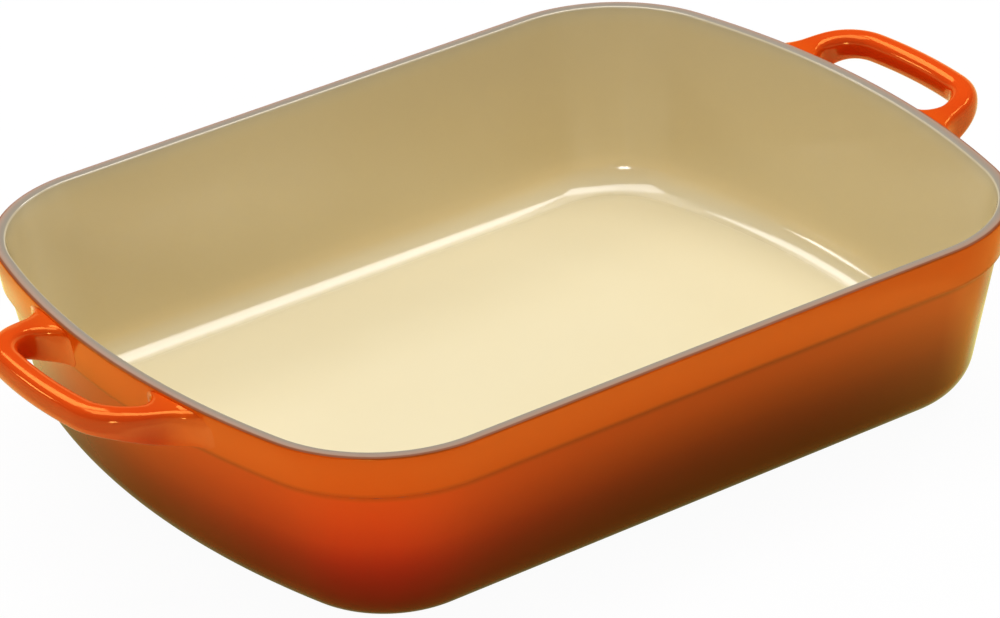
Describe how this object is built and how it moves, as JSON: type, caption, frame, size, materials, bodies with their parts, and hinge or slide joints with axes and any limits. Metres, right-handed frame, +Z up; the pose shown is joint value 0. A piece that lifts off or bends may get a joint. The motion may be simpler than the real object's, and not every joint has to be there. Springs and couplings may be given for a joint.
{
  "type": "roasting pan",
  "caption": "Rectangular enamelled cast-iron roasting pan with leaning walls, a thicker collar under the rim and a loop handle at each end, for oven or hob.",
  "frame": {"origin": "middle of the base's underside, on the surface that the pan stands on", "axes": "+X along the length towards the right handle, +Y across to the far long side, +Z up out of the pan"},
  "size_m": [0.3936, 0.2524, 0.076],
  "materials": {
    "iron": "matte",
    "orange_enamel": "gloss",
    "sand_enamel": "gloss",
    "grey_enamel": "satin",
    "brown_enamel": "satin"
  },
  "bodies": {
    "root": {"pan_casting": "iron", "exterior_enamel": "orange_enamel", "rim_enamel": "grey_enamel", "interior_enamel": "sand_enamel", "base_enamel": "brown_enamel", "right_handle_casting": "iron", "right_handle_enamel": "orange_enamel", "left_handle_casting": "iron", "left_handle_enamel": "orange_enamel"}
  },
  "joints": []
}
